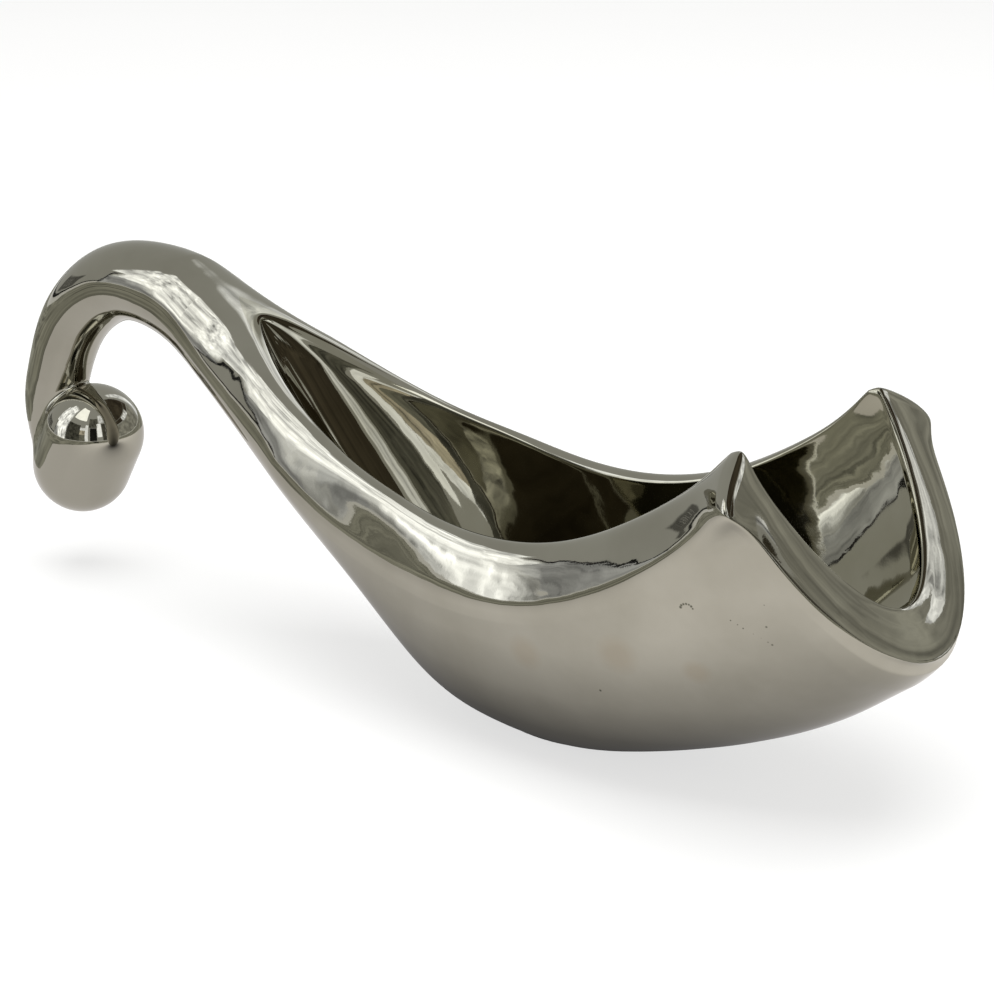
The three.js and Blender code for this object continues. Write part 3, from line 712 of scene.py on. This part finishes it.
def blend(tree, share, under, over):
    """Lays a colour over another one, by a share."""
    node = add(tree, "Mix", {"Factor": share}, data_type="RGBA")
    colours = [socket for socket in node.inputs if socket.type == "RGBA"]
    tree.links.new(under, colours[0])
    colours[1].default_value = (*over, 1)
    return next(socket for socket in node.outputs if socket.type == "RGBA")


# Wear on the hull's right side, as (x, y, z, radius): a small curved scratch and single pits, and
# faint brown stains
PITS = [
    (86.3, -58, 86.6, 0.7), (86.6, -58, 87.4, 0.6), (87.4, -57.9, 88.0, 0.6),
    (88.4, -57.8, 88.3, 0.6), (89.4, -57.7, 88.2, 0.5), (90.2, -57.6, 87.7, 0.6),
    (90.7, -57.5, 86.9, 0.5), (115.6, -53.3, 93.3, 0.5), (115.3, -51, 84.8, 0.6),
    (50.3, -52.1, 44.8, 0.6), (130.4, -46.5, 90, 0.5), (140.3, -35.8, 79.9, 0.5),
    (103.6, -54.4, 85.1, 0.35), (105.8, -53.5, 83.9, 0.3), (107.5, -52.7, 82.8, 0.4),
    (110.6, -51.2, 81.2, 0.35), (112.9, -50.0, 80.0, 0.4), (114.9, -48.9, 78.7, 0.5),
    (116.1, -48.2, 77.8, 0.6),
]
STAINS = [(88.6, -50.7, 61.3, 6.0), (60, -56, 62, 9.0), (20, -55, 52, 8.0)]
PIT_COLOUR, STAIN_COLOUR, STAIN_SHARE = (0.10, 0.10, 0.075), (0.33, 0.26, 0.17), 0.25

# Noise patterns of the metal, as scale, detail and roughness
TINT_PATTERN, POLISH_PATTERN = (22.0, 4.0, 0.55), (60.0, 6.0, 0.6)
RELIEF = [  # pattern, strength and height in metres
    ((26.0, 1.0, 0.4), 1.0, 0.0003),  # slow waves
    ((85.0, 1.0, 0.4), 1.0, 0.00012),  # ripple
    ((900.0, 2.0, 0.5), 0.05, 0.00005),  # grain of the polish
]


def bright_metal(name, light, dark, roughness, worn=False):
    """Mirror metal between two tints and two roughnesses."""
    material, tree, shader = node_material(name)
    colour = ramp(tree, noise(tree, *TINT_PATTERN), [(0.35, dark), (0.62, light)])
    if worn:
        stain = calculate(tree, "MULTIPLY", near_spots(tree, STAINS), STAIN_SHARE)
        colour = blend(tree, stain, colour, STAIN_COLOUR)
        colour = blend(tree, near_spots(tree, PITS), colour, PIT_COLOUR)
    polish = to_range(tree, noise(tree, *POLISH_PATTERN), *roughness)
    normal = None
    for pattern, strength, height in RELIEF:
        normal = bump(tree, noise(tree, *pattern), strength, height, normal)
    tree.links.new(colour, shader.inputs["Base Color"])
    tree.links.new(polish, shader.inputs["Roughness"])
    tree.links.new(normal, shader.inputs["Normal"])
    shader.inputs["Metallic"].default_value = 1.0
    return material


def felt_material():
    material, tree, shader = node_material("dark_felt")
    fibre = noise(tree, 1400.0, 5.0, 0.7, (1, 1, 3))
    colour = ramp(tree, fibre, [(0.3, (0.012, 0.013, 0.012)), (0.7, (0.045, 0.046, 0.042))])
    tree.links.new(colour, shader.inputs["Base Color"])
    tree.links.new(bump(tree, fibre, 0.8, 0.0004), shader.inputs["Normal"])
    shader.inputs["Roughness"].default_value = 0.95
    shader.inputs["Sheen Weight"].default_value = 0.5
    return material


OUTSIDE = ((0.40, 0.385, 0.325), (0.35, 0.335, 0.278), (0.015, 0.055))
mirror_metal = bright_metal("mirror_metal", *OUTSIDE)
worn_metal = bright_metal("worn_metal", *OUTSIDE, worn=True)
# The cavity's liner metal is a little darker and browner than the outside metal.
inside_metal = bright_metal(
    "inside_metal", (0.36, 0.345, 0.275), (0.30, 0.285, 0.215), (0.015, 0.06)
)
felt = felt_material()

# The formed sheets. The tables hold the exceptions: another metal or slot than bright mirror metal,
# a piece that isn't named as its patch, and other nodes than the one of that name.
METALS = {
    "inner_bowl": (inside_metal, "liner_metal"),
    "outer_shell_right": (worn_metal, "bright_metal"),
}
PIECES = {"handle_left": "handle_half_left", "handle_right": "handle_half_right"}
NODES = {
    "outer_shell_left": ["outer_shell_left", "seam_strip_back", "seam_strip_front"],
    "handle_left": ["handle_left_half", "handle_sleeve"],
    "handle_right": ["handle_right_half"],
}
names = [p[0] for p in patches]
for name in dict.fromkeys(names):
    numbers = [i for i, other in enumerate(names) if other == name]
    faces = clean(quads[np.isin(owner, numbers)].tolist())
    metal, slot = METALS.get(name, (mirror_metal, "bright_metal"))
    sheet = thick(points, faces, normals, WALL)
    object_from(PIECES.get(name, name) + "_metal", *sheet, metal, slot, NODES.get(name, [name]))

# The two halves of the ball
curl_points, curl_faces = cut_half(rough_curl())
curl_points = onto(curl_distance, curl_points)
curl_normals = gradient(curl_distance, curl_points)
curl_normals /= np.linalg.norm(curl_normals, axis=1)[:, None]
for name, turn, nodes in (
    ("ball_half_left", 1, ["ball_left_half", "ball_sleeve"]),
    ("ball_half_right", -1, ["ball_right_half"]),
):
    side = np.array([1, turn, 1])
    faces = [f[::turn] for f in curl_faces]
    sheet = thick(curl_points * side, faces, curl_normals * side, WALL)
    object_from(name, *sheet, mirror_metal, "bright_metal", nodes)

# The foot
FOOT_MIDDLE = -0.5
VENT_OFFSET, VENT_RADIUS = 15, 2  # the hole lies off the foot's middle
PLATE_EDGE = 0.25  # height of the plate's rounded lower edge
FELT_HALF_LENGTH, FELT_HALF_WIDTH = 32.5, 19.6
FELT_EDGE = [  # height, how far the edge stands out from the oval, and how ragged it is
    (FELT_TOP, -0.2, 0.1), (1.5, 0, 0.12), (0.8, 0.15, 0.12), (0.25, 0.05, 0.12), (0, -0.3, 0.1),
]
SIDES = 160
angles = np.linspace(-np.pi, np.pi, SIDES, endpoint=False)
random = np.random.default_rng(7)


def outline(level):
    """Distance of the hull's outline from the middle of the foot, at a level and at the angles."""
    u = np.linspace(NECK + 4, NECK + 9, 1500)
    u = u[keel_rail(u)[:, 2] < level]
    edge = hull(u, reach_level(u, level))
    x = edge[:, 0] - FOOT_MIDDLE
    bearing, far = np.arctan2(edge[:, 1], x), np.hypot(edge[:, 1], x)
    order = np.argsort(bearing)
    return np.interp(np.abs(angles), bearing[order], far[order])


def level_ring(level, radii, middle=FOOT_MIDDLE):
    return np.stack([middle + radii * np.cos(angles), radii * np.sin(angles), np.full(SIDES, level)], 1)


def vent_ring(level, radius):
    return level_ring(level, radius, FOOT_MIDDLE + VENT_OFFSET)


def ring_solid(rings):
    """A closed body through a loop of rings."""
    index = np.arange(len(rings) * SIDES).reshape(-1, SIDES)
    faces = []
    for a, b in zip(index, np.roll(index, -1, axis=0)):
        faces += np.stack([b, np.roll(b, -1), np.roll(a, -1), a], 1).tolist()
    return np.concatenate(rings), faces


def ragged(amount):
    """A smooth random edge, the same at each run."""
    waves = sum(
        np.sin(angles * k + random.uniform(0, 6.3)) * random.uniform(0.3, 1)
        for k in (9, 17, 31, 47, 71)
    )
    return amount * waves / 3


edge_level = FELT_TOP + PLATE_EDGE
plate_rings = [level_ring(level, outline(level)) for level in np.linspace(FOOT_TOP, edge_level, 5)]
plate_rings += [
    level_ring(FELT_TOP + 0.07, outline(edge_level) - 0.1),
    level_ring(FELT_TOP, outline(edge_level) - 0.3),
    vent_ring(FELT_TOP, VENT_RADIUS),
    vent_ring(FOOT_TOP, VENT_RADIUS),
]
plate = ring_solid(plate_rings)
object_from("foot_plate_metal", *plate, None, mirror_metal, "soldered_metal", ["foot_plate"])

slant = np.hypot(FELT_HALF_WIDTH * np.cos(angles), FELT_HALF_LENGTH * np.sin(angles))
oval = FELT_HALF_LENGTH * FELT_HALF_WIDTH / slant
felt_rings = [level_ring(level, oval + out + ragged(amount)) for level, out, amount in FELT_EDGE]
felt_rings += [vent_ring(0, VENT_RADIUS + 0.2), vent_ring(FELT_TOP, VENT_RADIUS)]
object_from("felt_pad_fabric", *ring_solid(felt_rings), None, felt, "felt", ["felt_pad"])


# The stage: a pale floor, and panels and sheets that only the metal shows
FLOOR_WHITE = 0.68  # how far the floor is lifted to white where it is seen
FLOOR_HALF, TABLE_HALF = 8, 0.6
MIDDLE_X, MIDDLE_Z, FAR = -0.05, 0.08, 2.6  # the middle of the panels, and their distance from it
TABLE_LIGHT, TABLE_PAINTED_SHADE_BACK = 1.1, 0.72  # at the bowl, and the share of it behind the handle, a painted shade under the neck and handle
TABLE_TINT = (1, 0.972, 0.965)
TABLE_PAINTED_SHADOW = [  # painted shadow of the object: light at distances from the foot, 1 at 0.38 m along the bowl and 0.2 m beside it
    (0.1, 0.05), (0.175, 0.145), (0.265, 0.34), (0.315, 0.47), (0.5, 0.80), (0.62, 0.93), (0.8, 1),
]


def mix_shaders(tree, share, under, over):
    return add(tree, "MixShader", {"Fac": share, 1: under, 2: over}).outputs[0]


def show(tree, surface):
    tree.links.new(surface, tree.nodes["Material Output"].inputs["Surface"])


def glow_material(name):
    """A material without its usual shader, for light alone."""
    material, tree, shader = node_material(name)
    tree.nodes.remove(shader)
    return material, tree


def seen_directly(tree):
    """1 for camera, mirror and glass rays, 0 for the light that falls on surfaces."""
    path = tree.nodes.new("ShaderNodeLightPath").outputs
    seen = calculate(tree, "MAXIMUM", path["Is Camera Ray"], path["Is Glossy Ray"])
    return calculate(tree, "MAXIMUM", seen, path["Is Transmission Ray"])


def floor_material():
    material, tree, shader = node_material("pale_floor")
    cloud = noise(tree, 3.0, 2.0, 0.5)
    colour = ramp(tree, cloud, [(0.3, (0.88, 0.875, 0.865)), (0.7, (0.90, 0.895, 0.885))])
    tree.links.new(colour, shader.inputs["Base Color"])
    shader.inputs["Roughness"].default_value = 0.9
    shader.inputs["Specular IOR Level"].default_value = 0.0
    white = tree.nodes.new("ShaderNodeEmission")
    share = calculate(tree, "MULTIPLY", seen_directly(tree), FLOOR_WHITE)
    show(tree, mix_shaders(tree, share, shader.outputs[0], white.outputs[0]))
    return material


def card_material(name, light, tint, scale, upright=1, soft=False):
    """An uneven light between two strengths. Its pattern is stretched upwards by a small upright
    value, and a soft one turns clear where the mesh's cover attribute falls to 0."""
    material, tree = glow_material(name)
    strength = to_range(tree, noise(tree, scale, 4.0, 0.6, (1, 1, upright)), *light)
    surface = add(tree, "Emission", {"Color": (*tint, 1), "Strength": strength}).outputs[0]
    if soft:
        cover = add(tree, "Attribute", {}, attribute_name="cover").outputs["Fac"]
        clear = tree.nodes.new("ShaderNodeBsdfTransparent").outputs[0]
        surface = mix_shaders(tree, cover, clear, surface)
    show(tree, surface)
    return material


def table_material():
    """The table as the metal shows it, a glowing sheet with painted shade: the object's painted shadow
    near the foot, dimmer behind the handle, and warm further out.
    """
    material, tree = glow_material("table_top_painted_shadow")
    place = object_place(tree)
    scaled = add(tree, "Mapping", {"Vector": place, "Scale": (5 / 1.9, 5, 0)}).outputs["Vector"]
    far = add(tree, "VectorMath", {0: scaled}, operation="LENGTH").outputs["Value"]
    stops = [(at, tuple(light * part for part in TABLE_TINT)) for at, light in TABLE_PAINTED_SHADOW]
    x = add(tree, "SeparateXYZ", {0: place}).outputs["X"]
    # painted shade under the neck and handle: the glow dims towards -X
    strength = to_range(tree, x, TABLE_PAINTED_SHADE_BACK * TABLE_LIGHT, TABLE_LIGHT, -0.28, 0.05)
    glow = add(tree, "Emission", {"Color": ramp(tree, far, stops), "Strength": strength})
    show(tree, glow.outputs[0])
    return material


def stage_sheet(name, points, faces, material, in_metal_only=True):
    mesh = bpy.data.meshes.new(name)
    mesh.from_pydata(np.reshape(points, (-1, 3)).tolist(), [], faces)
    mesh.materials.append(material)
    obj = put(name, mesh)
    if in_metal_only:
        obj.visible_camera = obj.visible_diffuse = obj.visible_shadow = False
    return mesh


def square(half, z):
    return [(-half, -half, z), (half, -half, z), (half, half, z), (-half, half, z)]


def towards(azimuth, elevation):
    """A direction; azimuth 0 is towards -Y and 90 towards +X, in degrees."""
    a, e = np.radians(azimuth), np.radians(elevation)
    return np.stack([np.sin(a) * np.cos(e), -np.cos(a) * np.cos(e), np.sin(e)], -1)


def card(name, azimuths, elevations, light, tint=(1, 1, 1), scale=1.5, upright=1, soft=0):
    """A curved panel round the object: a window, a lamp's screen or a dark flag. A soft one fades
    over so many degrees at its sides and top."""
    n = 17
    a, e = np.meshgrid(np.linspace(*azimuths, n), np.linspace(*elevations, n), indexing="ij")
    points = towards(a, e) * FAR + np.array([MIDDLE_X, 0, MIDDLE_Z])
    material = card_material(name, light, tint, scale, upright, soft > 0)
    mesh = stage_sheet(name, points, grid_faces(n, n).tolist(), material)
    if soft > 0:
        edge = np.minimum(np.minimum(a - azimuths[0], azimuths[1] - a), elevations[1] - e)
        cover = mesh.attributes.new("cover", "FLOAT", "POINT")
        cover.data.foreach_set("value", np.clip(edge / soft, 0, 1).reshape(-1))


def mat(name, azimuths, distances, light, tint, height):
    """A sheet on the table, between two azimuths and two distances."""
    n, m = 33, 5
    a, r = np.meshgrid(np.linspace(*azimuths, n), np.linspace(*distances, m), indexing="ij")
    points = towards(a, 0 * a) * r[..., None] + np.array([MIDDLE_X, 0, height])
    material = card_material(name, light, tint, scale=6.0)
    stage_sheet(name, points, grid_faces(n, m).tolist(), material)


stage_sheet("floor", square(FLOOR_HALF, 0), [(0, 1, 2, 3)], floor_material(), in_metal_only=False)

studio = bpy.data.worlds.new("studio")
bpy.context.scene.world = studio
studio.use_nodes = True
studio.node_tree.nodes["Background"].inputs["Color"].default_value = (0.50, 0.505, 0.485, 1)

# Name, azimuths, elevations, weakest and strongest light
DAYLIGHT = (0.96, 0.99, 1.05)
PANES = {"tint": DAYLIGHT, "scale": 5.0, "upright": 0.4}
card("ceiling_screen", (-20, 22), (45, 72), (2.1, 2.5), (0.98, 1, 1))
card("left_window", (-52, -24), (-1, 62), (0.4, 3.5), **PANES, soft=6)
card("left_window_top", (-56, -45), (12, 60), (0.4, 3.3), **PANES, soft=2)
card("left_window_side", (-60.5, -53), (20, 48), (0.4, 3.0), **PANES, soft=2)
card("hanging_plant", (-57.5, -54), (32.5, 37), (0.05, 0.3), (1, 1, 0.8), 9.0, soft=0.8)
card("under_window", (-57, -49), (-1, 12), (0.2, 1.0), DAYLIGHT, 5.0, 0.5)
card("window_frame", (-57.4, -56.4), (-1, 18), (0.01, 0.03))
card("skirting", (-128, -57.4), (0.2, 1.4), (0.01, 0.05))
card("picture_frame", (-90, -69), (2.2, 9.5), (0.1, 0.2), (1, 1, 0.95), 3.0, soft=1.2)
card("picture", (-86, -72.5), (3.8, 7.8), (0.3, 1.1), (1, 1, 0.97), 3.0, soft=1.2)
card("dark_wall", (-26.8, 9), (-1, 34), (0.03, 0.16), (1, 1, 0.84), 4.0)
card("low_wall", (9, 21.8), (-1, 13), (0.15, 0.35), (1, 1, 0.84), 4.0)
card("brown_curtain", (9, 21.8), (13, 23), (0.15, 1.2), (1, 0.92, 0.75), 7.0, 0.3)
card("curtain_top", (9, 21.8), (23, 29), (1.0, 2.2), DAYLIGHT, 5.0)
card("window_beside_camera", (22, 29), (-1, 36), (1.4, 2.2), DAYLIGHT)
card("dark_beam", (30.5, 58), (31, 52), (0.04, 0.25), (1, 1, 0.85), 4.0)
card("high_window", (60, 79), (41, 60), (0.6, 1.8), **PANES, soft=2)
card("camera_flag", (34, 52), (-1, 30), (0.01, 0.03), (1, 1, 0.9))
card("right_window", (54, 66), (8, 40), (1.6, 2.4), DAYLIGHT)
card("right_flag", (67.5, 105), (-1, 38), (0.06, 0.16), (1, 0.95, 0.8))
card("far_wall", (106, 184), (-1, 23.5), (0.2, 0.6), (1, 1, 0.9), 3.0)
card("far_high_window", (134, 162), (23.5, 31), (0.2, 2.4), DAYLIGHT, 8.0, 0.5, 1.0)
card("dark_corner", (85, 184), (32.5, 66), (0.03, 0.12), (1, 0.85, 0.6))
card("dark_corner_low", (106, 133), (25, 32), (0.03, 0.12), (1, 0.85, 0.6))
card("dark_corner_far", (163, 184), (25, 32), (0.03, 0.12), (1, 0.85, 0.6))
card("far_window", (-170, -157), (-1, 55), (0.5, 2.2), DAYLIGHT, 4.0, 0.4, 3)
mat("table_mat", (-180, 180), (0.42, 2.4), (0.1, 0.6), (1, 1, 0.86), 0.0006)
mat("camera_shade", (37, 50), (0.6, 2.4), (0.01, 0.03), (1, 1, 0.9), 0.0009)
# The table as a glowing sheet that only the metal shows, with the object's shadow painted in
stage_sheet("table_top_painted_shadow", square(TABLE_HALF, 0.0003), [(0, 1, 2, 3)], table_material())

# One soft lamp overhead, which the metal doesn't show
lamp_data = bpy.data.lights.new("overhead", "AREA")
lamp_data.shape = "RECTANGLE"
lamp_data.size = lamp_data.size_y = 2.0
lamp_data.energy = 80
lamp = put("overhead", lamp_data)
lamp.location = (0.1, -0.2, 2.4)
lamp.rotation_euler = (-lamp.location).to_track_quat("-Z", "Y").to_euler()
lamp.visible_glossy = False

# The photograph's point of view
AZIMUTH, ELEVATION, DISTANCE, FOCAL_LENGTH = 38, 19.4, 0.920, 88.37
TARGET = Vector((-0.0358, 0, 0.0824))
camera_data = bpy.data.cameras.new("camera")
camera_data.sensor_width = 36
camera_data.sensor_fit = "HORIZONTAL"
camera_data.lens = FOCAL_LENGTH
camera_data.clip_start = 0.01
camera = put("camera", camera_data)
back = Vector(towards(AZIMUTH, ELEVATION))
camera.location = TARGET + back * DISTANCE
camera.rotation_euler = (-back).to_track_quat("-Z", "Y").to_euler()
bpy.context.scene.camera = camera
bpy.context.scene.view_settings.view_transform = "Standard"
